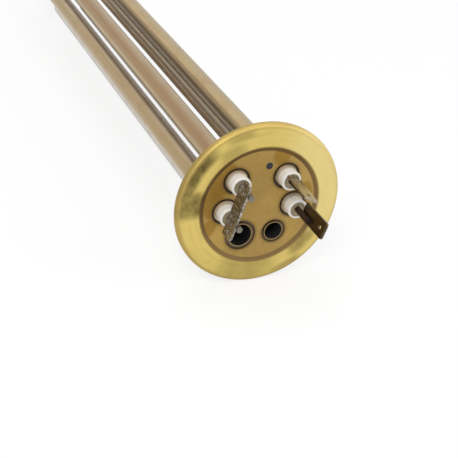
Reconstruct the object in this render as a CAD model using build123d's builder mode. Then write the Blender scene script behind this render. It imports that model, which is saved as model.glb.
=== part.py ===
from build123d import *
from math import atan2, cos, degrees, hypot, radians, sin
import os

# Flanged immersion heater for a small water tank, in millimetres.
# Origin: centre of the flange's rim. +Y runs along the tubes into the tank, the terminals point to -Y,
# +Z is up when the heater is fitted with its two sensor pockets at the bottom.

# Flange: a round brass pressing with a raised clamping ring and a shallow recess for the tubes
flange_radius = 32.0
sheet_thickness = 1.8
rim_depth = 0.9
rim_land = 1.3
rim_roll_radius = 1.75
ring_crest_radius = 23.7
ring_crest_height = 2.3
ring_crown = 0.12
recess_depth = 0.9
recess_step_width = 1.9
crest_blend_radius = 0.5
seat_inner_radius = 24.6
seat_outer_radius = 29.4
notch_radius = 1.0
notch_angle = 198.0
notch_depth = 0.4

# Heater tubes: two hairpins, one long and one short
sheath_radius = 4.25
sheath_wall = 0.5
sheath_inset = 0.35
upper_half_spacing = 9.65
upper_height = 10.85
upper_reach = 362.0
lower_half_spacing = 13.25
lower_height = -1.0
lower_reach = 312.0
heater_collar_radius = 5.15

# Inside each hairpin: packed filling, wound wire and cold pins
pin_radius = 1.15
pin_flat_depth = 0.35
pin_flat_lead = 0.2
pin_embed = 62.0
pin_overhang = 8.8

# Ceramic beads that close the tubes
bead_height = 5.05
bead_embed = 7.0
bead_edge_radius = 0.6
bead_cup_radius = 2.95
bead_cup_depth = 1.4
seal_depth = 0.9

# Welded blades on the right: thin plates that stand beside their pins
blade_thickness = 0.8
blade_width = 6.3
blade_corner = 0.8
blade_bevel_depth = 0.3
blade_bevel_length = 0.8
tab_hole_radius = 0.85
tab_hole_setback = 3.9
blade_upper_gap = 0.25
blade_upper_length = 16.3
blade_upper_angle = 61.5
blade_upper_lean = 3.4
blade_upper_offset = -0.1
blade_upper_standoff = 1.05
blade_lower_gap = 2.0
blade_lower_length = 17.3
blade_lower_angle = -20.0
blade_lower_offset = -1.3

# Two round weld marks pressed into each plate over its pin
weld_mark_radius = 0.75
weld_mark_depth = 0.18
weld_mark_spacing = 2.7
weld_mark_setback = 1.6

# Strip that joins the two left pins and carries the third tab
strip_width = 7.0
strip_gap = 0.85
strip_head_reach = 3.9
strip_tail_reach = 5.6
strip_head_rise = 1.2
strip_tip_corner = 1.0
strip_hole_setback = 2.2

# Sensor pockets: plain closed tubes below the heaters
pocket_half_spacing = 6.6
pocket_height = -11.6
pocket_reach = 260.0
pocket_large_radius = 4.8
pocket_large_wall = 0.5
pocket_large_collar = 6.0
pocket_small_radius = 3.8
pocket_small_wall = 0.4
pocket_small_collar = 4.75
pocket_end_fillet = 2.4

# Threaded boss for the sacrificial rod on the water side
boss_radius = 5.5
boss_height = 10.0
boss_chamfer = 0.6
anode_tap_radius = 2.5
anode_tap_depth = 8.5

# Brazed joints
braze_gap = 0.15
collar_depth = 0.7
collar_fill_depth = 0.3
collar_taper_angle = 20.0
braze_fillet = 1.3

# Planes that everything is set from
ring_front = -ring_crest_height
disc_front = ring_front + recess_depth
disc_back = disc_front + sheet_thickness
seat_plane = ring_front + sheet_thickness
recess_radius = ring_crest_radius - recess_step_width
step_back_radius = seat_inner_radius - recess_step_width
bead_front = disc_front - bead_height
sheath_end = disc_front + sheath_inset
bead_back = disc_front + bead_embed
bead_radius = sheath_radius - sheath_wall
pin_end = bead_front - pin_overhang
pin_back = bead_back + pin_embed
plate_standoff = pin_radius - pin_flat_depth
mark_ball = (weld_mark_radius**2 + weld_mark_depth**2) / (2 * weld_mark_depth)
strip_rise = upper_height - lower_height
strip_run = lower_half_spacing - upper_half_spacing
strip_angle = degrees(atan2(strip_run, -strip_rise))
strip_span = hypot(strip_run, strip_rise)

# Places of the heater legs seen from the terminals: name, X, Z
legs = [
    ("upper_left", -upper_half_spacing, upper_height),
    ("lower_left", -lower_half_spacing, lower_height),
    ("upper_right", upper_half_spacing, upper_height),
    ("lower_right", lower_half_spacing, lower_height),
]
pockets = [
    ("large", -pocket_half_spacing, pocket_large_radius, pocket_large_wall, pocket_large_collar),
    ("small", pocket_half_spacing, pocket_small_radius, pocket_small_wall, pocket_small_collar),
]

# Every tube that is brazed into the flange: X, Z, outside radius, radius of its collar groove
tube_seats = [(x, z, sheath_radius, heater_collar_radius) for name, x, z in legs]
tube_seats += [(x, pocket_height, radius, collar) for name, x, radius, wall, collar in pockets]

os.makedirs("parts", exist_ok=True)


def save(part, name):
    """Label a finished piece and write it as its own STEP file."""
    part.label = name
    export_step(part, f"parts/{name}.step")
    print(f"{name:24s} {part.volume:10.1f} mm3")


def across(y, x=0.0, z=0.0):
    """A plane square to the tubes at height y, facing the tank, with its X axis along +X."""
    return Plane(origin=(x, y, z), x_dir=(1, 0, 0), z_dir=(0, 1, 0))


def seat_on_pin(leg, gap, angle, standoff=plate_standoff, lean=0.0):
    """The plane a plate is welded on: it faces away from the pin and starts gap in front of the bead.
    Its X axis runs across the plate and its Y axis along the pin, leaned in at the plate's far end."""
    name, x, z = leg
    side_x = cos(radians(angle))
    side_z = sin(radians(angle))
    start = (x + standoff * side_x, bead_front - gap, z + standoff * side_z)
    upright = cos(radians(lean))
    facing = (upright * side_x, -sin(radians(lean)), upright * side_z)
    return Plane(origin=start, x_dir=(side_z, 0, -side_x), z_dir=facing)


def weld_marks(seat):
    """Centres of the balls that press two weld marks into a plate; X faces away from the pin."""
    height = blade_thickness + mark_ball - weld_mark_depth
    marks = [-weld_mark_setback, -weld_mark_setback - weld_mark_spacing]
    points = [seat.from_local_coords((0, mark, height)) for mark in marks]
    return [Plane(origin=point, x_dir=seat.z_dir, z_dir=seat.y_dir) for point in points]


def ring_at(x, z, outline):
    """Turn a closed outline of (radius, y) points about the tube axis at x, z."""
    with BuildPart() as ring:
        with BuildSketch(Plane(origin=(x, 0, z), x_dir=(1, 0, 0), z_dir=(0, 0, 1))):
            with BuildLine():
                Polyline(outline, close=True)
            make_face()
        revolve(axis=Axis((x, 0, z), (0, 1, 0)))
    return ring.part


def braze_joint(x, z, radius):
    """The ring of brazing alloy round a tube: it fills the gap and ends in a fillet behind the flange."""
    front = disc_front + collar_depth - collar_fill_depth
    return ring_at(x, z, [
        (radius, front),
        (radius + braze_gap, front),
        (radius + braze_gap, disc_back),
        (radius + braze_fillet, disc_back),
        (radius, disc_back + braze_fillet),
    ])


def hairpin_path(half_spacing, height, start, reach, radius):
    """Down one leg, round the bend and back up the other, so that the outside ends at reach."""
    bend_start = reach - half_spacing - radius
    with BuildLine() as path:
        Line((-half_spacing, start, height), (-half_spacing, bend_start, height))
        ThreePointArc(
            (-half_spacing, bend_start, height),
            (0, bend_start + half_spacing, height),
            (half_spacing, bend_start, height),
        )
        Line((half_spacing, bend_start, height), (half_spacing, start, height))
    return path.line


# Flange: the pressed section is turned about the Y axis, then the tube seats are cut
roll_start = flange_radius - rim_roll_radius
rim_inner = flange_radius - rim_land
with BuildPart() as flange:
    with BuildSketch(Plane.XY):
        with BuildLine():
            Line((0, disc_front), (recess_radius, disc_front))
            Line((recess_radius, disc_front), (ring_crest_radius, ring_front))
            crown = (ring_crest_radius + roll_start) / 2
            ThreePointArc(
                (ring_crest_radius, ring_front),
                (crown, -(ring_crest_height + rim_roll_radius) / 2 - ring_crown),
                (roll_start, -rim_roll_radius),
            )
            CenterArc((roll_start, 0), rim_roll_radius, 270, 90)
            Line((flange_radius, 0), (flange_radius, rim_depth))
            Line((flange_radius, rim_depth), (rim_inner, rim_depth))
            Line((rim_inner, rim_depth), (seat_outer_radius, seat_plane))
            Line((seat_outer_radius, seat_plane), (seat_inner_radius, seat_plane))
            Line((seat_inner_radius, seat_plane), (step_back_radius, disc_back))
            Line((step_back_radius, disc_back), (0, disc_back))
            Line((0, disc_back), (0, disc_front))
        make_face()
    revolve(axis=Axis.Y)
    crest_edge = flange.edges().filter_by(GeomType.CIRCLE).group_by(Axis.Y)[0]
    fillet(crest_edge, crest_blend_radius)
    for x, z, radius, collar in tube_seats:
        with BuildSketch(across(disc_front, x, z)):
            Circle(radius + braze_gap)
        extrude(amount=sheet_thickness, mode=Mode.SUBTRACT)
        with BuildSketch(across(disc_front, x, z)):
            Circle(collar)
        extrude(amount=collar_depth, taper=collar_taper_angle, mode=Mode.SUBTRACT)
    notch_centre = recess_radius + recess_step_width / 2
    notch_x = notch_centre * cos(radians(notch_angle))
    notch_z = notch_centre * sin(radians(notch_angle))
    with BuildSketch(across(ring_front, notch_x, notch_z)):
        Circle(notch_radius)
    extrude(amount=notch_depth, mode=Mode.SUBTRACT)
save(flange.part, "flange")

# Hairpins: a thin copper-alloy sheath, the packed filling and the wound wire inside it
hairpins = [
    ("upper", upper_half_spacing, upper_height, upper_reach),
    ("lower", lower_half_spacing, lower_height, lower_reach),
]
for name, half_spacing, height, reach in hairpins:
    route = hairpin_path(half_spacing, height, sheath_end, reach, sheath_radius)
    with BuildPart() as sheath:
        with BuildSketch(across(sheath_end, -half_spacing, height)):
            Circle(sheath_radius)
            Circle(bead_radius, mode=Mode.SUBTRACT)
        sweep(path=route)
    save(sheath.part, f"{name}_sheath")

    inner_route = hairpin_path(half_spacing, height, bead_back, reach, sheath_radius)
    with BuildPart() as filling:
        with BuildSketch(across(bead_back, -half_spacing, height)):
            Circle(bead_radius)
            Circle(pin_radius, mode=Mode.SUBTRACT)
        sweep(path=inner_route)
    save(filling.part, f"{name}_filling")

    wire_route = hairpin_path(half_spacing, height, pin_back, reach, sheath_radius)
    with BuildPart() as winding:
        with BuildSketch(across(pin_back, -half_spacing, height)):
            Circle(pin_radius)
        sweep(path=wire_route)
    save(winding.part, f"{name}_winding")

# Where the plates are welded on: one strip across the left pins, a blade beside each right pin
upper_left, lower_left, upper_right, lower_right = legs
upper_strip_seat = seat_on_pin(upper_left, strip_gap, strip_angle)
lower_strip_seat = seat_on_pin(lower_left, strip_gap, strip_angle)
upper_seat = seat_on_pin(
    upper_right,
    blade_upper_gap,
    blade_upper_angle,
    standoff=blade_upper_standoff,
    lean=blade_upper_lean,
)
lower_seat = seat_on_pin(lower_right, blade_lower_gap, blade_lower_angle)
seats = [upper_strip_seat, lower_strip_seat, upper_seat, lower_seat]

# Each leg's closure: cold pin with a welding flat, ceramic bead, and the sealing ring in its cup
for leg, seat in zip(legs, seats):
    name, x, z = leg
    with BuildPart() as pin:
        with BuildSketch(across(pin_end, x, z)):
            Circle(pin_radius)
        extrude(amount=pin_back - pin_end)
        with BuildSketch(seat):
            with Locations((0, pin_flat_lead)):
                Rectangle(2 * pin_radius, 2 * pin_overhang, align=(Align.CENTER, Align.MAX))
        extrude(amount=pin_radius, mode=Mode.SUBTRACT)
    save(pin.part, f"cold_pin_{name}")

    with BuildPart() as bead:
        with BuildSketch(across(bead_front, x, z)):
            Circle(bead_radius)
        extrude(amount=bead_back - bead_front)
        fillet(bead.edges().filter_by(GeomType.CIRCLE).sort_by(Axis.Y)[0], bead_edge_radius)
        with BuildSketch(across(bead_front, x, z)):
            Circle(pin_radius)
        extrude(amount=bead_back - bead_front, mode=Mode.SUBTRACT)
        with BuildSketch(across(bead_front, x, z)):
            Circle(bead_cup_radius)
        extrude(amount=bead_cup_depth, mode=Mode.SUBTRACT)
    save(bead.part, f"ceramic_bead_{name}")

    seal_front = bead_front + bead_cup_depth - seal_depth
    with BuildPart() as seal:
        with BuildSketch(across(seal_front, x, z)):
            Circle(bead_cup_radius)
            Circle(pin_radius, mode=Mode.SUBTRACT)
        extrude(amount=seal_depth)
    save(seal.part, f"seal_{name}")

    save(braze_joint(x, z, sheath_radius), f"braze_{name}")

# Right-hand blades: flat tabs welded beside their pins, with a bevelled tip and a latch hole
blades = [
    ("upper_right", upper_seat, blade_upper_length, blade_upper_offset),
    ("lower_right", lower_seat, blade_lower_length, blade_lower_offset),
]
for name, seat, length, sideways in blades:
    outward = Axis(seat.origin, seat.z_dir)
    with BuildPart() as blade:
        with BuildSketch(seat) as outline:
            with Locations((sideways, -length / 2)):
                Rectangle(blade_width, length)
            chamfer(outline.vertices().group_by(Axis.Y)[0], blade_corner)
            with Locations((sideways, tab_hole_setback - length)):
                Circle(tab_hole_radius, mode=Mode.SUBTRACT)
        extrude(amount=blade_thickness)
        for end in (0, -1):
            broad = blade.faces().sort_by(outward)[end]
            tip = broad.edges().sort_by(Axis.Y)[0]
            chamfer(tip, blade_bevel_length, length2=blade_bevel_depth, reference=broad)
        with Locations(weld_marks(seat)):
            Sphere(mark_ball, mode=Mode.SUBTRACT)
    save(blade.part, f"blade_{name}")

# Joining strip: a flat plate welded across both left pins, whose lower end is the third tab
strip_shoulder = strip_span + strip_head_reach - strip_head_rise
strip_tip = -strip_tail_reach
with BuildPart() as strip:
    with BuildSketch(lower_strip_seat):
        with BuildLine():
            Polyline(
                (strip_shoulder, 0),
                (strip_tip, 0),
                (strip_tip, strip_tip_corner - strip_width),
                (strip_tip + strip_tip_corner, -strip_width),
                (strip_shoulder, -strip_width),
            )
            ThreePointArc(
                (strip_shoulder, -strip_width),
                (strip_shoulder + strip_head_rise, -strip_width / 2),
                (strip_shoulder, 0),
            )
        make_face()
        with Locations((strip_tip + strip_hole_setback, -strip_width / 2)):
            Circle(tab_hole_radius, mode=Mode.SUBTRACT)
    extrude(amount=blade_thickness)
    with Locations(weld_marks(upper_strip_seat) + weld_marks(lower_strip_seat)):
        Sphere(mark_ball, mode=Mode.SUBTRACT)
save(strip.part, "joining_strip")

# Sensor pockets: closed tubes with a rounded end, flush with the recess
for name, x, radius, wall, collar in pockets:
    with BuildPart() as pocket:
        with BuildSketch(across(disc_front, x, pocket_height)):
            Circle(radius)
        extrude(amount=pocket_reach - disc_front)
        fillet(pocket.edges().filter_by(GeomType.CIRCLE).sort_by(Axis.Y)[-1], pocket_end_fillet)
        offset(amount=-wall, openings=pocket.faces().sort_by(Axis.Y)[0])
    save(pocket.part, f"sensor_pocket_{name}")
    save(braze_joint(x, pocket_height, radius), f"braze_pocket_{name}")

# Anode boss: a tapped brass spigot brazed to the middle of the flange's back
with BuildPart() as boss:
    with BuildSketch(across(disc_back)):
        Circle(boss_radius)
    extrude(amount=boss_height)
    chamfer(boss.edges().filter_by(GeomType.CIRCLE).sort_by(Axis.Y)[-1], boss_chamfer)
    with BuildSketch(across(disc_back + boss_height)):
        Circle(anode_tap_radius)
    extrude(amount=-anode_tap_depth, mode=Mode.SUBTRACT)
save(boss.part, "anode_boss")
boss_joint = ring_at(0, 0, [
    (boss_radius, disc_back),
    (boss_radius + braze_fillet, disc_back),
    (boss_radius, disc_back + braze_fillet),
])
save(boss_joint, "braze_boss")
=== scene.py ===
# %% [markdown]
# # Dressing a flanged heating element
# The element heats the water of a small tank. Two hairpin tubes and two closed sensor pockets are
# brazed into a round brass flange, and ceramic beads close the tubes where the terminals come out.
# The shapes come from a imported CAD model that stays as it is. This lesson gives every solid its own
# procedural finish, and sets the view and the light. It adds no shapes to the element itself.

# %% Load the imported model
from math import cos, radians, sin

import bpy
import numpy as np
from mathutils import Matrix, Vector


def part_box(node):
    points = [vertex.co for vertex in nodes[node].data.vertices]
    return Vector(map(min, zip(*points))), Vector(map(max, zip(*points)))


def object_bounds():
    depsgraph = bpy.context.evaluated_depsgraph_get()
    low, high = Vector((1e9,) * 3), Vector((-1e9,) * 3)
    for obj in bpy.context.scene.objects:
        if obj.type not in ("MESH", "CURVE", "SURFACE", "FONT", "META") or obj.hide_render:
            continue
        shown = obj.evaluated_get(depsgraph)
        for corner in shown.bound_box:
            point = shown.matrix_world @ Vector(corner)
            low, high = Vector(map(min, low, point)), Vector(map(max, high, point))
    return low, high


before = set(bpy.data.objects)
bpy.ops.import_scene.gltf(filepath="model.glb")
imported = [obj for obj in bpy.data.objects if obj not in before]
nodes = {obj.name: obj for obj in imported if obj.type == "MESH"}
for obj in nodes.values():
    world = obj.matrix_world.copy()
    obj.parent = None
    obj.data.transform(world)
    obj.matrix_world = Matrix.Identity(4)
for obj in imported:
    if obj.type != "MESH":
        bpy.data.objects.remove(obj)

cad_low, cad_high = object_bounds()
print(len(nodes), "CAD nodes, box", [round(v, 4) for v in cad_high - cad_low])

# %% [markdown]
# ## Short names for shader nodes
# A material is a small graph. Writing `tree.nodes.new(...)` and a link for each wire hides the idea
# behind the bookkeeping, so one helper adds a node and fills its sockets: a number or a colour is set
# on the socket, and another node's output is wired to it. A few more helpers give the usual sums a name.

# %% Helpers for node graphs
def add(tree, kind, sockets=None, **options):
    """Add one shader node. options are its own settings; sockets maps a name or number to a value or an output."""
    node = tree.nodes.new("ShaderNode" + kind)
    for name, value in options.items():
        setattr(node, name, value)
    for key, value in (sockets or {}).items():
        if isinstance(value, bpy.types.NodeSocket):
            tree.links.new(value, node.inputs[key])
        else:
            node.inputs[key].default_value = value
    return node


def calc(tree, operation, a, b=0.0):
    """One sum on two numbers, such as MULTIPLY, ADD, MAXIMUM or POWER."""
    return add(tree, "Math", {0: a, 1: b}, operation=operation).outputs[0]


def ease(tree, value, start, end):
    """A mask that goes smoothly from 0 at start to 1 at end; with start above end it falls instead."""
    low, high = min(start, end), max(start, end)
    sockets = {"Value": value, "From Min": low, "From Max": high}
    mask = add(tree, "MapRange", sockets, interpolation_type="SMOOTHSTEP").outputs["Result"]
    return mask if start < end else calc(tree, "SUBTRACT", 1.0, mask)


def mix(tree, mask, a, b, blend="MIX"):
    """Colour a where the mask is 0 and colour b where it is 1."""
    return add(tree, "Mix", {0: mask, 6: a, 7: b}, data_type="RGBA", blend_type=blend).outputs[2]


def level(tree, mask, a, b):
    """A number that goes from a where the mask is 0 to b where it is 1."""
    return add(tree, "MapRange", {"Value": mask, "To Min": a, "To Max": b}).outputs["Result"]


def noise(tree, vector, scale, detail=3.0, roughness=0.55):
    """Soft random values from 0 to 1 in space."""
    sockets = {"Vector": vector, "Scale": scale, "Detail": detail, "Roughness": roughness}
    return add(tree, "TexNoise", sockets).outputs["Fac"]


def paint(red, green, blue):
    """A colour given as it looks on a screen, 0 to 255, turned into the linear colour that sockets take."""
    screen = np.array([red, green, blue]) / 255
    linear = np.where(screen <= 0.04045, screen / 12.92, ((screen + 0.055) / 1.055) ** 2.4)
    return (*linear.tolist(), 1.0)


print("brass reads as", [round(c, 3) for c in paint(232, 208, 122)])

# %% [markdown]
# ## Effects that several finishes share
# Brushed rings, lengthwise streaks and cloudy stains appear on more than one metal. Each is a node
# group made once, with named inputs, and every material places it with its own numbers. The groups
# read Object coordinates, which are the model's own metres, so a pattern stays put from any side.

# %% A helper for node groups
def new_group(name, inputs, outputs):
    """An empty node group with number sockets. Returns the group, its input node and its output node."""
    group = bpy.data.node_groups.new(name, "ShaderNodeTree")
    for label, value in inputs.items():
        socket = group.interface.new_socket(label, in_out="INPUT", socket_type="NodeSocketFloat")
        socket.default_value = value
    for label, kind in outputs.items():
        group.interface.new_socket(label, in_out="OUTPUT", socket_type=kind)
    return group, group.nodes.new("NodeGroupInput"), group.nodes.new("NodeGroupOutput")


def use(tree, group, **sockets):
    """Place a node group in a tree, with underscores in the names standing for spaces."""
    node = tree.nodes.new("ShaderNodeGroup")
    node.node_tree = group
    for name, value in sockets.items():
        socket = node.inputs[name.replace("_", " ")]
        if isinstance(value, bpy.types.NodeSocket):
            tree.links.new(value, socket)
        else:
            socket.default_value = value
    return node.outputs


# %% Group: where a point is, in millimetres
place, _, out = new_group("place_in_mm", {}, {
    "Point": "NodeSocketVector", "X": "NodeSocketFloat", "Y": "NodeSocketFloat", "Z": "NodeSocketFloat",
    "Radius": "NodeSocketFloat", "Around": "NodeSocketVector"})
metres = add(place, "TexCoord").outputs["Object"]
point = add(place, "VectorMath", {0: metres, "Scale": 1000.0}, operation="SCALE").outputs[0]
axes = add(place, "SeparateXYZ", {0: point}).outputs
flat = add(place, "CombineXYZ", {"X": axes["X"], "Z": axes["Z"]}).outputs[0]
radius = add(place, "VectorMath", {0: flat}, operation="LENGTH").outputs["Value"]
around = add(place, "VectorMath", {0: flat}, operation="NORMALIZE").outputs[0]
for label, output in zip(("Point", "X", "Y", "Z", "Radius", "Around"), (point, *axes, radius, around)):
    place.links.new(output, out.inputs[label])
print("place_in_mm gives", [s.name for s in out.inputs if s.name])

# %% Group: rings left by a spinning brush
ring_grain, inner, out = new_group("spun_grain", {"Pitch": 0.25, "Length": 2.0}, {"Lines": "NodeSocketFloat"})
spot = use(ring_grain, place)
step = calc(ring_grain, "DIVIDE", spot["Radius"], inner.outputs["Pitch"])
turn = add(ring_grain, "VectorMath", {0: spot["Around"], "Scale": inner.outputs["Length"]}, operation="SCALE")
across = add(ring_grain, "CombineXYZ", {"Y": step}).outputs[0]
where = add(ring_grain, "VectorMath", {0: turn.outputs[0], 1: across}, operation="ADD").outputs[0]
ring_grain.links.new(noise(ring_grain, where, 1.0, 4.0, 0.7), out.inputs["Lines"])
print("spun_grain ready")

# %% Group: streaks left by the drawing die
drawn, inner, out = new_group("drawn_grain", {"Width": 0.6, "Length": 60.0}, {"Streaks": "NodeSocketFloat"})
spot = use(drawn, place)
thin = [calc(drawn, "DIVIDE", spot[a], inner.outputs["Width"]) for a in ("X", "Z")]
long = calc(drawn, "DIVIDE", spot["Y"], inner.outputs["Length"])
where = add(drawn, "CombineXYZ", {"X": thin[0], "Y": long, "Z": thin[1]}).outputs[0]
drawn.links.new(noise(drawn, where, 1.0, 3.0, 0.6), out.inputs["Streaks"])
print("drawn_grain ready")

# %% Group: cloudy stains
cloud, inner, out = new_group("cloudy_stain", {"Size": 6.0, "Start": 0.5, "End": 0.6}, {"Mask": "NodeSocketFloat"})
spot = use(cloud, place)
where = add(cloud, "VectorMath", {0: spot["Point"], "Scale": calc(cloud, "DIVIDE", 1.0, inner.outputs["Size"])},
            operation="SCALE").outputs[0]
value = noise(cloud, where, 1.0, 4.0, 0.6)
share = calc(cloud, "DIVIDE", calc(cloud, "SUBTRACT", value, inner.outputs["Start"]),
             calc(cloud, "SUBTRACT", inner.outputs["End"], inner.outputs["Start"]))
share = add(cloud, "Clamp", {"Value": share}).outputs[0]
cloud.links.new(share, out.inputs["Mask"])
print("cloudy_stain ready")


# %% A helper that starts and ends each material
def finish_named(name, graph):
    """A material whose look comes from graph(tree), which returns the Principled shader's sockets by name."""
    material = bpy.data.materials.new(name)
    material.use_nodes = True
    tree = material.node_tree
    tree.nodes.clear()
    surface = add(tree, "BsdfPrincipled", graph(tree))
    add(tree, "OutputMaterial", {"Surface": surface.outputs[0]})
    return material


def bumped(tree, height, depth, normal=None):
    """A normal that follows a height from 0 to 1, which is worth depth millimetres."""
    sockets = {"Height": height, "Strength": 1.0, "Distance": depth / 1000}
    if normal is not None:
        sockets["Normal"] = normal
    return add(tree, "Bump", sockets).outputs[0]


def dress(material, *names):
    """Give these CAD nodes the material, in place of the plain one they came with."""
    for name in names:
        slots = nodes[name].data.materials
        slots.clear()
        slots.append(material)
    print(f"{material.name:18s}", *names)


# %% [markdown]
# ## The brass flange
# The flange is pressed from sheet. Its raised ring was brushed while it turned, so the light on it
# runs along arcs; dark and pale sectors on the ring are painted reflections, and its rolled edge and
# the recess wall carry painted shade. The sunken disc in the middle is left satin, with golden stains
# where flux ran during brazing and dark rings round each tube, partly dark alloy and partly painted
# shade. One material can hold it all: masks made from the distance to the flange's axis, and to each
# tube's axis, say which finish shows where.

# %% Measure where the tubes go through
legs = ["upper_left", "upper_right", "lower_left", "lower_right"]


def centre_mm(name):
    """The X and Z of a node's box centre, in millimetres."""
    low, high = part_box(name)
    middle = (low + high) * 500
    return middle.x, middle.z


tube_mouths = [(*centre_mm("ceramic_bead_" + leg), 5.15) for leg in legs]
tube_mouths += [(*centre_mm("sensor_pocket_large"), 6.0), (*centre_mm("sensor_pocket_small"), 4.75)]
disc_edge, ring_start = 21.8, 23.9
print("tube mouths (x, z, groove radius):", np.round(tube_mouths, 2).tolist())

# %% Masks on the flange
def distance_to(tree, spot, x, z):
    """How far a point is from an axis along Y through x, z, in millimetres."""
    sockets = {0: add(tree, "CombineXYZ", {"X": spot["X"], "Z": spot["Z"]}).outputs[0], 1: (x, 0.0, z)}
    return add(tree, "VectorMath", sockets, operation="DISTANCE").outputs["Value"]


def past_grooves(tree, spot):
    """The signed distance to the nearest groove's edge, negative inside it."""
    nearest = None
    for x, z, groove in tube_mouths:
        gap = calc(tree, "SUBTRACT", distance_to(tree, spot, x, z), groove)
        nearest = gap if nearest is None else calc(tree, "MINIMUM", nearest, gap)
    return nearest


def patch(tree, spot, x, z, wide, tall, turn=0.0, ragged=0.35, soft=0.25):
    """A soft-edged oval stain centred at x, z; ragged bends its outline with noise."""
    sockets = {"Vector": spot["Point"], "Location": (x, 0, z), "Rotation": (0, radians(turn), 0),
               "Scale": (wide, 1e6, tall)}
    oval = add(tree, "Mapping", sockets, vector_type="TEXTURE").outputs[0]
    size = add(tree, "VectorMath", {0: oval}, operation="LENGTH").outputs["Value"]
    bend = calc(tree, "MULTIPLY", calc(tree, "SUBTRACT", noise(tree, spot["Point"], 0.22, 2.0), 0.5), ragged * 2)
    return ease(tree, calc(tree, "ADD", size, bend), 1.0 + soft, 1.0 - soft)


def sector(tree, spot, angle, half_width, soft):
    """1 on a sector of the ring centred at angle, in degrees from +X towards +Z, fading over soft degrees."""
    heading = (cos(radians(angle)), 0.0, sin(radians(angle)))
    along = add(tree, "VectorMath", {0: spot["Around"], 1: heading}, operation="DOT_PRODUCT").outputs["Value"]
    return ease(tree, along, cos(radians(half_width + soft)), cos(radians(half_width)))


def most(tree, masks):
    """The largest of several masks."""
    top = masks[0]
    for mask in masks[1:]:
        top = calc(tree, "MAXIMUM", top, mask)
    return top


def times(tree, *values):
    """The product of several numbers."""
    product = values[0]
    for value in values[1:]:
        product = calc(tree, "MULTIPLY", product, value)
    return product


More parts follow.
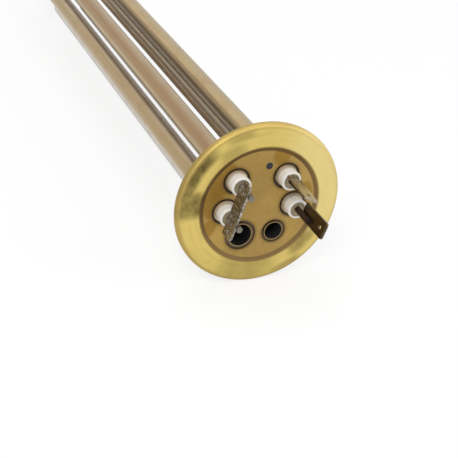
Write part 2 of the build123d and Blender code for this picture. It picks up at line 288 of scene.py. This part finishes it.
def brass(tree):
    spot = use(tree, place)
    lines = use(tree, ring_grain, Pitch=0.2, Length=1.6)["Lines"]
    wide_lines = use(tree, ring_grain, Pitch=1.3, Length=2.4)["Lines"]
    clouds = use(tree, cloud, Size=8.0, Start=0.4, End=0.65)["Mask"]
    fine = use(tree, cloud, Size=1.1, Start=0.35, End=0.7)["Mask"]
    ring = ease(tree, spot["Radius"], disc_edge + 1.1, ring_start)
    disc = ease(tree, spot["Radius"], disc_edge + 0.1, disc_edge - 0.3)
    ring_colour = mix(tree, lines, paint(206, 182, 102), paint(232, 208, 124))
    ring_colour = mix(tree, times(tree, clouds, 0.5), ring_colour, paint(214, 190, 108))
    ring_colour = mix(tree, times(tree, ease(tree, wide_lines, 0.5, 0.62), 0.35), ring_colour, paint(196, 172, 96))
    inner_half = ease(tree, spot["Radius"], 29.5, 26.0)
    # Dark olive sectors of the ring: painted reflections of dark surroundings in the spun brass, broken up by a
    # cloudy mask.
    painted_dark_reflection = most(tree, [
        times(tree, sector(tree, spot, 152, 12, 18), ease(tree, spot["Radius"], 26.0, 28.5)),
        times(tree, sector(tree, spot, 172, 6, 9), 0.9),
        times(tree, sector(tree, spot, 108, 3, 10), 0.45, ease(tree, spot["Radius"], 27.0, 29.0)),
        times(tree, sector(tree, spot, 118, 3, 12), 0.4, inner_half),
        times(tree, sector(tree, spot, -42, 4, 16), 0.7, inner_half),
        times(tree, sector(tree, spot, -66, 4, 14), 0.55, ease(tree, spot["Radius"], 27.0, 29.5)),
        times(tree, sector(tree, spot, -98, 8, 24), 0.4)])
    uneven = level(tree, use(tree, cloud, Size=3.5, Start=0.3, End=0.7)["Mask"], 0.6, 1.0)
    ring_colour = mix(tree, times(tree, painted_dark_reflection, uneven), ring_colour, paint(96, 82, 46))
    # The rolled outer edge is painted darker as shade where it turns away; the same mask also makes it rougher.
    rolled_edge_painted_shade = ease(tree, spot["Radius"], 30.0, 31.2)
    ring_colour = mix(tree, times(tree, rolled_edge_painted_shade, 0.75), ring_colour, paint(176, 152, 88))
    # A pale sector on the right of the ring: painted bright reflection.
    pale = times(tree, sector(tree, spot, 20, 30, 30), 0.4)
    ring_colour = mix(tree, pale, ring_colour, paint(236, 220, 160))
    disc_colour = mix(tree, fine, paint(168, 138, 76), paint(180, 150, 84))
    disc_colour = mix(tree, times(tree, clouds, 0.4), disc_colour, paint(184, 152, 76))
    stains = most(tree, [patch(tree, spot, *spec) for spec in (
        (7.6, 19.0, 3.2, 4.2, 10), (-16.4, 10.5, 6.0, 5.0, 30), (-18.0, 2.0, 4.5, 6.5, 0),
        (-19.0, -7.0, 2.4, 4.2, 20), (-12.0, 15.2, 4.0, 2.6, 35), (18.0, 3.0, 2.6, 4.5, 0))])
    disc_colour = mix(tree, times(tree, stains, 0.8), disc_colour, paint(150, 114, 36))
    # The recess wall between disc and ring is painted darker brown as shade.
    step_shade_colour = mix(tree, lines, paint(112, 88, 54), paint(146, 120, 80))
    colour = mix(tree, ring, step_shade_colour, ring_colour)
    colour = mix(tree, disc, colour, disc_colour)
    groove = past_grooves(tree, spot)
    front = ease(tree, spot["Y"], -0.3, -0.6)
    scorch = times(tree, ease(tree, groove, 1.4, 0.0), 0.45, front)
    colour = mix(tree, scorch, colour, paint(112, 84, 42))
    # The dark ring in each groove is partly dark braze alloy and partly painted shade; the brown-grey round the two
    # lower pockets is painted shadow.
    dark = times(tree, ease(tree, groove, 0.25, -0.25), front)
    below = ease(tree, spot["Z"], -4.6, -6.2)
    groove_alloy_and_shade_colour = mix(tree, below, paint(58, 46, 30), paint(96, 80, 56))
    colour = mix(tree, dark, colour, groove_alloy_and_shade_colour)
    ink = times(tree, ease(tree, distance_to(tree, spot, 2.6, 15.5), 1.5, 1.2), front)
    colour = mix(tree, ink, colour, paint(38, 38, 50))
    dull = calc(tree, "MAXIMUM", dark, ink)
    rough = calc(tree, "ADD", level(tree, ring, 0.5, 0.3), times(tree, lines, 0.12))
    rough = calc(tree, "ADD", rough, times(tree, rolled_edge_painted_shade, 0.2))
    metal = times(tree, calc(tree, "SUBTRACT", 1.0, times(tree, dull, 0.8)),
                  calc(tree, "SUBTRACT", 1.0, times(tree, disc, 0.35)))
    tangent = add(tree, "Tangent", direction_type="RADIAL", axis="Y").outputs[0]
    return {"Base Color": colour, "Roughness": rough, "Metallic": metal, "Anisotropic": 0.6,
            "Tangent": tangent, "Normal": bumped(tree, lines, 0.012)}


dress(finish_named("spun_brass", brass), "flange")


# %% Boss and brazed joints
def turned_brass(tree):
    spot = use(tree, place)
    lines = use(tree, ring_grain, Pitch=0.3, Length=0.8)["Lines"]
    stain = use(tree, cloud, Size=5.0, Start=0.45, End=0.7)["Mask"]
    colour = mix(tree, lines, paint(186, 152, 84), paint(214, 182, 104))
    colour = mix(tree, stain, colour, paint(150, 108, 62))
    return {"Base Color": colour, "Roughness": calc(tree, "ADD", 0.25, calc(tree, "MULTIPLY", lines, 0.2)),
            "Metallic": 1.0, "Normal": bumped(tree, lines, 0.02)}


dress(finish_named("turned_brass", turned_brass), "anode_boss")


def braze(tree):
    spot = use(tree, place)
    ripple = noise(tree, spot["Point"], 1.4, 3.0)
    front = ease(tree, spot["Y"], -0.4, -0.8)
    colour = mix(tree, ripple, paint(168, 140, 96), paint(214, 196, 150))
    colour = mix(tree, front, colour, paint(60, 46, 28))
    return {"Base Color": colour, "Roughness": calc(tree, "ADD", 0.3, calc(tree, "MULTIPLY", ripple, 0.25)),
            "Metallic": 0.9, "Normal": bumped(tree, ripple, 0.15)}


dress(finish_named("braze_alloy", braze), *["braze_" + leg for leg in legs],
      "braze_pocket_large", "braze_pocket_small", "braze_boss")


# %% [markdown]
# ## Drawn tubes
# The real tubes came from a drawing die and were then annealed. The long bands of grey, brown, beige
# and nearly black that keep to their place round each tube, over its own brown and grey tone, are
# painted reflections, highlights and shade. A band is a function of where a point lies across its own
# tube, so every tube gets its own row of colours, and noise that is stretched along the tube breaks them up.

# %% Helpers for the tubes
def streaks(tree, across, stops):
    """Painted reflections, highlights and shade: colours at places across a tube, from -1 on its left side to 1 on
    its right, blended between them.
    """
    ramp = add(tree, "ValToRGB", {"Fac": level_between(tree, across)})
    points = ramp.color_ramp.elements
    for index, (where, shade) in enumerate(stops):
        point = points[index] if index < len(points) else points.new(0.5)
        point.position, point.color = (where + 1) / 2, paint(*shade)
    return ramp.outputs["Color"]


def level_between(tree, across):
    """Turn -1 to 1 into 0 to 1."""
    return add(tree, "MapRange", {"Value": across, "From Min": -1.0}).outputs["Result"]


def across_tube(tree, spot, x, z, tube_radius):
    """How far a point lies to the right of a tube's axis, seen from the front left, as a share of its radius."""
    right_share, up_share = 0.812 / tube_radius, 0.585 / tube_radius
    sideways = times(tree, calc(tree, "SUBTRACT", spot["X"], x), right_share)
    upwards = times(tree, calc(tree, "SUBTRACT", spot["Z"], z), up_share)
    return calc(tree, "ADD", sideways, upwards)


def drawn_tube(tubes):
    """A finish for one or two tubes, each given as x, z, radius and its row of painted reflection colours."""
    def graph(tree):
        spot = use(tree, place)
        broad = use(tree, drawn, Width=2.2, Length=120.0)["Streaks"]
        fine = use(tree, drawn, Width=0.3, Length=60.0)["Streaks"]
        wander = times(tree, calc(tree, "SUBTRACT", broad, 0.5), 0.35)
        shades = []
        for x, z, tube_radius, stops in tubes:
            across = calc(tree, "ADD", across_tube(tree, spot, x, z, tube_radius), wander)
            shades.append(streaks(tree, across, stops))
        right_leg = ease(tree, spot["X"], -0.5, 0.5)
        colour = shades[0] if len(shades) == 1 else mix(tree, right_leg, shades[0], shades[1])
        blotch = use(tree, cloud, Size=9.0, Start=0.5, End=0.7)["Mask"]
        colour = mix(tree, times(tree, blotch, 0.35), colour, paint(158, 124, 84))
        colour = mix(tree, times(tree, ease(tree, fine, 0.58, 0.78), 0.55), colour, paint(92, 76, 54))
        colour = mix(tree, times(tree, ease(tree, fine, 0.40, 0.26), 0.4), colour, paint(206, 194, 170))
        rough = calc(tree, "ADD", 0.22, times(tree, fine, 0.22))
        return {"Base Color": colour, "Roughness": rough, "Metallic": 0.85, "Normal": bumped(tree, fine, 0.012)}
    return graph


# %% The two hairpins
# Rows of painted reflection, highlight and shade across each hairpin leg.
grey_brown = ((-1.0, (196, 178, 148)), (-0.6, (168, 144, 104)), (0.0, (170, 146, 106)), (0.14, (206, 188, 152)),
              (0.27, (80, 62, 42)), (0.36, (84, 68, 50)), (0.46, (206, 192, 172)), (0.6, (168, 158, 144)),
              (0.72, (214, 206, 196)), (0.84, (150, 140, 128)), (1.0, (196, 188, 178)))
warm_brown = ((-1.0, (120, 102, 76)), (-0.78, (184, 162, 122)), (-0.5, (160, 132, 94)), (0.0, (154, 124, 88)),
              (0.35, (150, 120, 84)), (0.62, (134, 110, 78)), (0.82, (138, 118, 88)), (1.0, (172, 156, 126)))
striped_grey = ((-1.0, (120, 98, 70)), (-0.86, (190, 166, 128)), (-0.76, (118, 96, 68)), (-0.62, (206, 184, 152)),
                (-0.5, (128, 108, 82)), (-0.32, (186, 172, 148)), (-0.08, (178, 164, 142)), (0.06, (86, 70, 50)),
                (0.2, (112, 94, 72)), (0.6, (160, 142, 114)), (1.0, (180, 160, 128)))
beige_edge = ((-1.0, (128, 110, 88)), (-0.86, (192, 176, 148)), (-0.7, (118, 102, 80)), (-0.52, (158, 140, 110)),
              (-0.3, (146, 124, 88)), (-0.05, (188, 164, 120)), (0.3, (204, 180, 130)), (0.65, (214, 194, 144)),
              (0.85, (196, 178, 134)), (1.0, (160, 144, 112)))
sheath_radius = 4.25
upper_legs = [(*centre_mm("ceramic_bead_upper_left"), sheath_radius, warm_brown),
              (*centre_mm("ceramic_bead_upper_right"), sheath_radius, beige_edge)]
lower_legs = [(*centre_mm("ceramic_bead_lower_left"), sheath_radius, grey_brown),
              (*centre_mm("ceramic_bead_lower_right"), sheath_radius, striped_grey)]
dress(finish_named("upper_hairpin", drawn_tube(upper_legs)), "upper_sheath")
dress(finish_named("lower_hairpin", drawn_tube(lower_legs)), "lower_sheath")

# %% The two sensor pockets, painted black inside as shade
# Rows of painted reflection, highlight and shade across each pocket.
pale_grey = ((-1.0, (150, 142, 128)), (-0.85, (206, 202, 194)), (-0.5, (184, 176, 162)), (0.0, (160, 140, 108)),
             (0.5, (120, 102, 76)), (1.0, (170, 150, 118)))
dark_edged = ((-1.0, (58, 48, 36)), (-0.86, (172, 152, 116)), (-0.4, (188, 168, 130)), (0.2, (150, 126, 92)),
              (1.0, (168, 146, 112)))


def pocket_tube(name, outside, wall, stops):
    """A closed tube: the drawn finish outside and black painted shade inside, which starts at the radius wall."""
    x, z = centre_mm(name)

    def graph(tree):
        spot = use(tree, place)
        sockets = drawn_tube([(x, z, outside, stops)])(tree)
        # Everything within the inner radius is painted black as the shade of the deep bore, and made dull.
        inside = ease(tree, distance_to(tree, spot, x, z), wall, wall - 0.15)
        lip = times(tree, ease(tree, spot["Y"], -1.3, -1.38), calc(tree, "SUBTRACT", 1.0, inside))
        colour = mix(tree, inside, sockets["Base Color"], paint(18, 18, 17))
        sockets["Base Color"] = mix(tree, lip, colour, paint(150, 124, 82))
        sockets["Metallic"] = calc(tree, "SUBTRACT", 0.85, times(tree, inside, 0.8))
        sockets["Roughness"] = calc(tree, "MAXIMUM", sockets["Roughness"], times(tree, inside, 0.95))
        return sockets
    return graph


dress(finish_named("large_pocket", pocket_tube("sensor_pocket_large", 4.8, 4.5, pale_grey)), "sensor_pocket_large")
dress(finish_named("small_pocket", pocket_tube("sensor_pocket_small", 3.8, 3.55, dark_edged)), "sensor_pocket_small")


# %% Ceramic, seals and what is packed inside
def ceramic(tree):
    spot = use(tree, place)
    speck = noise(tree, spot["Point"], 6.0, 2.0)
    grime = use(tree, cloud, Size=2.5, Start=0.5, End=0.75)["Mask"]
    colour = mix(tree, speck, paint(222, 219, 212), paint(232, 230, 225))
    colour = mix(tree, times(tree, grime, 0.3), colour, paint(196, 184, 160))
    # Beige-brown at the foot of each bead, where it meets the flange: painted shade.
    foot = ease(tree, spot["Y"], -3.4, -1.8)
    colour = mix(tree, times(tree, foot, 0.7), colour, paint(172, 150, 112))
    return {"Base Color": colour, "Roughness": calc(tree, "ADD", 0.45, calc(tree, "MULTIPLY", speck, 0.2)),
            "Normal": bumped(tree, speck, 0.03)}


dress(finish_named("white_ceramic", ceramic), *["ceramic_bead_" + leg for leg in legs])


def resin(tree):
    spot = use(tree, place)
    blob = noise(tree, spot["Point"], 2.5, 3.0)
    colour = mix(tree, blob, paint(128, 112, 84), paint(170, 154, 124))
    return {"Base Color": colour, "Roughness": calc(tree, "ADD", 0.45, calc(tree, "MULTIPLY", blob, 0.2)),
            "Normal": bumped(tree, blob, 0.15)}


dress(finish_named("sealing_resin", resin), *["seal_" + leg for leg in legs])


def oxide(tree):
    spot = use(tree, place)
    grain = noise(tree, spot["Point"], 3.0, 5.0)
    return {"Base Color": mix(tree, grain, paint(214, 210, 202), paint(238, 236, 230)), "Roughness": 0.9,
            "Normal": bumped(tree, grain, 0.1)}


dress(finish_named("packed_oxide", oxide), "upper_filling", "lower_filling")


def wire(tree):
    spot = use(tree, place)
    turns = calc(tree, "SINE", calc(tree, "MULTIPLY", spot["Y"], 7.0))
    # Darker in the valleys between the turns: painted shade that follows the coil's relief.
    height = calc(tree, "MULTIPLY", calc(tree, "ADD", turns, 1.0), 0.5)
    return {"Base Color": mix(tree, height, paint(92, 88, 84), paint(150, 146, 140)), "Roughness": 0.4,
            "Metallic": 1.0, "Normal": bumped(tree, height, 0.3)}


dress(finish_named("resistance_wire", wire), "upper_winding", "lower_winding")


# %% Pins
def pin_steel(cold, worn, burnt_end):
    """A pin between two metal colours in fine streaks, with its end in a third."""
    def graph(tree):
        spot = use(tree, place)
        streak = use(tree, drawn, Width=0.4, Length=20.0)["Streaks"]
        pits = use(tree, cloud, Size=0.7, Start=0.4, End=0.6)["Mask"]
        burnt = ease(tree, spot["Y"], -14.2, -15.2)
        colour = mix(tree, ease(tree, streak, 0.35, 0.65), paint(*cold), paint(*worn))
        colour = mix(tree, burnt, colour, paint(*burnt_end))
        colour = mix(tree, times(tree, pits, 0.4), colour, paint(60, 50, 40))
        return {"Base Color": colour, "Roughness": calc(tree, "ADD", 0.35, times(tree, streak, 0.25)),
                "Metallic": 0.8, "Normal": bumped(tree, pits, 0.06)}
    return graph


dress(finish_named("left_pins", pin_steel((112, 104, 92), (152, 146, 136), (138, 133, 124))),
      "cold_pin_upper_left", "cold_pin_lower_left")
dress(finish_named("right_pins", pin_steel((52, 40, 28), (84, 68, 50), (60, 50, 48))),
      "cold_pin_upper_right", "cold_pin_lower_right")


# %% Blades
def tab_metal(dark, light, glints):
    """Rolled strip between two metal colours; glints is how strongly the pale patches of painted highlight show."""
    def graph(tree):
        spot = use(tree, place)
        streak = use(tree, drawn, Width=0.3, Length=12.0)["Streaks"]
        blotch = use(tree, cloud, Size=2.6, Start=0.45, End=0.7)["Mask"]
        # Pale patches: painted highlight glints.
        painted_glint = use(tree, cloud, Size=1.0, Start=0.52, End=0.62)["Mask"]
        colour = mix(tree, ease(tree, streak, 0.3, 0.7), paint(*dark), paint(*light))
        colour = mix(tree, times(tree, blotch, 0.35), colour, paint(*dark))
        colour = mix(tree, times(tree, painted_glint, glints), colour, paint(226, 224, 218))
        return {"Base Color": colour, "Roughness": calc(tree, "ADD", 0.2, times(tree, streak, 0.2)),
                "Metallic": 0.9, "Normal": bumped(tree, blotch, 0.04)}
    return graph


dress(finish_named("bright_blade", tab_metal((136, 122, 98), (180, 168, 142), 0.15)), "blade_upper_right")
# The lower right blade's dark brown is a painted reflection of dark surroundings.
dress(finish_named("blade_painted_dark_reflection", tab_metal((74, 60, 42), (108, 92, 66), 0.0)), "blade_lower_right")
dress(finish_named("strip_metal", tab_metal((92, 84, 70), (160, 154, 142), 0.6)), "joining_strip")

# %% [markdown]
# ## Floor, light and camera
# A product photograph of metal needs a pale floor with a soft shadow, and large soft lamps, because
# metal shows what stands round it. The floor glows white to the camera and to mirrors, with a share of
# real diffuse white that keeps the shadow.

# %% Floor
floor_height = cad_low.z
corners = np.array([[-3, -3], [3, -3], [3, 3], [-3, 3]], float)
floor_mesh = bpy.data.meshes.new("floor")
floor_mesh.from_pydata(np.column_stack([corners, np.full(4, floor_height)]).tolist(), [], [(0, 1, 2, 3)])
floor = bpy.data.objects.new("floor", floor_mesh)
bpy.context.scene.collection.objects.link(floor)

floor_paint = bpy.data.materials.new("floor_paint")
floor_paint.use_nodes = True
tree = floor_paint.node_tree
tree.nodes.clear()
path = add(tree, "LightPath").outputs
seen = calc(tree, "MAXIMUM", path["Is Camera Ray"],
            calc(tree, "MAXIMUM", path["Is Glossy Ray"], path["Is Transmission Ray"]))
speck = noise(tree, add(tree, "TexCoord").outputs["Object"], 300.0, 2.0)
matt = add(tree, "BsdfDiffuse", {"Color": mix(tree, speck, paint(248, 248, 248), paint(251, 251, 251))})
glow = add(tree, "Emission", {"Color": (1, 1, 1, 1), "Strength": 1.0})
both = add(tree, "MixShader", {0: calc(tree, "MULTIPLY", seen, 0.78), 1: matt.outputs[0], 2: glow.outputs[0]})
add(tree, "OutputMaterial", {"Surface": both.outputs[0]})
floor_mesh.materials.append(floor_paint)
print("floor at z =", round(floor_height, 4))

# %% World
world = bpy.data.worlds.new("studio")
bpy.context.scene.world = world
world.use_nodes = True
tree = world.node_tree
tree.nodes.clear()
path = add(tree, "LightPath").outputs
seen = calc(tree, "MAXIMUM", path["Is Camera Ray"],
            calc(tree, "MAXIMUM", path["Is Glossy Ray"], path["Is Transmission Ray"]))
room = add(tree, "Background", {"Color": (1, 1, 1, 1), "Strength": 0.45})
white = add(tree, "Background", {"Color": (1, 1, 1, 1), "Strength": 1.0})
both = add(tree, "MixShader", {0: seen, 1: room.outputs[0], 2: white.outputs[0]})
add(tree, "OutputWorld", {"Surface": both.outputs[0]})

# %% Lamps
look_at = Vector((0.0, 0.02, 0.0))


def softbox(name, place_at, size, power):
    """A square area lamp at place_at that faces the flange."""
    light = bpy.data.lights.new(name, "AREA")
    light.shape, light.size, light.energy = "SQUARE", size, power
    lamp = bpy.data.objects.new(name, light)
    bpy.context.scene.collection.objects.link(lamp)
    lamp.location = place_at
    lamp.rotation_mode = "QUATERNION"
    lamp.rotation_quaternion = (look_at - lamp.location).to_track_quat("-Z", "Y")
    lamp.visible_camera = False
    return lamp


softbox("key_lamp", Vector((-0.9, -1.1, 1.5)), 0.9, 20)
softbox("fill_lamp", Vector((1.2, -0.9, 1.0)), 0.9, 6)
softbox("top_lamp", Vector((0.0, 0.5, 1.8)), 1.2, 10)

# %% Camera
camera = bpy.data.objects.new("camera", bpy.data.cameras.new("camera"))
bpy.context.scene.collection.objects.link(camera)
camera.data.sensor_width, camera.data.lens = 36.0, 89.29
camera.data.clip_start, camera.data.clip_end = 0.01, 20.0
right = Vector((0.92780985, -0.36632596, 0.07052784))
up = Vector((0.12298569, 0.47884438, 0.86924253))
back = Vector((-0.35219796, -0.79781787, 0.48932938))
turn = Matrix((right, up, back)).transposed().to_4x4()
camera.matrix_world = Matrix.Translation((-0.1562007, -0.3298746, 0.1930738)) @ turn
bpy.context.scene.camera = camera
bpy.context.scene.view_settings.view_transform = "Standard"
print("camera", [round(v, 3) for v in camera.location])
